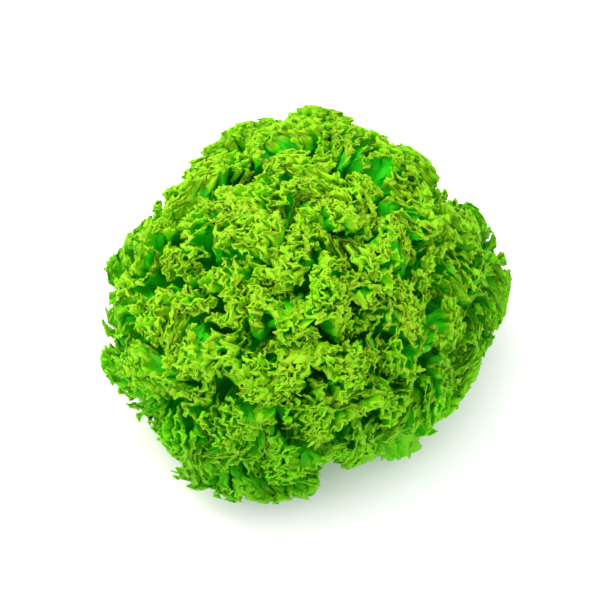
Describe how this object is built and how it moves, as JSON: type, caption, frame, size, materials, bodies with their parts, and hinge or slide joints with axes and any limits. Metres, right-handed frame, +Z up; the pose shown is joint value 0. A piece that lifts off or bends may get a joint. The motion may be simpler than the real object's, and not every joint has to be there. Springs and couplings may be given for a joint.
{
  "type": "lollo bionda lettuce",
  "caption": "Head of loose-leaf lettuce, as cut: a short stem with a spiral of fan-shaped leaves whose gathered, frilled edges form a wide low dome.",
  "frame": {"origin": "centre of the stem's cut face, on the surface that the head stands on", "axes": "+Z up along the stem to the growing point; -Y towards the side that the picture shows, +X to its right"},
  "size_m": [0.2464, 0.25, 0.1475],
  "materials": {
    "leaf": "living lettuce leaf: yellow-green, thin and slightly see-through, with a waxy half-gloss",
    "stem": "pale green stem with leaf scars and a moist, slightly browned cut face"
  },
  "bodies": {
    "root": {"stem": "stem", "outer_leaf_01": "leaf", "outer_leaf_02": "leaf", "outer_leaf_03": "leaf", "outer_leaf_04": "leaf", "outer_leaf_05": "leaf", "outer_leaf_06": "leaf", "outer_leaf_07": "leaf", "outer_leaf_08": "leaf", "middle_leaf_09": "leaf", "middle_leaf_10": "leaf", "middle_leaf_11": "leaf", "middle_leaf_12": "leaf", "middle_leaf_13": "leaf", "middle_leaf_14": "leaf", "middle_leaf_15": "leaf", "middle_leaf_16": "leaf", "middle_leaf_17": "leaf", "middle_leaf_18": "leaf", "middle_leaf_19": "leaf", "middle_leaf_20": "leaf", "middle_leaf_21": "leaf", "middle_leaf_22": "leaf", "middle_leaf_23": "leaf", "middle_leaf_24": "leaf", "middle_leaf_25": "leaf", "middle_leaf_26": "leaf", "inner_leaf_27": "leaf", "inner_leaf_28": "leaf", "inner_leaf_29": "leaf", "inner_leaf_30": "leaf", "inner_leaf_31": "leaf", "inner_leaf_32": "leaf", "inner_leaf_33": "leaf", "inner_leaf_34": "leaf", "inner_leaf_35": "leaf", "inner_leaf_36": "leaf", "inner_leaf_37": "leaf", "heart_leaf_38": "leaf", "heart_leaf_39": "leaf", "heart_leaf_40": "leaf", "heart_leaf_41": "leaf", "heart_leaf_42": "leaf", "heart_leaf_43": "leaf"}
  },
  "joints": []
}
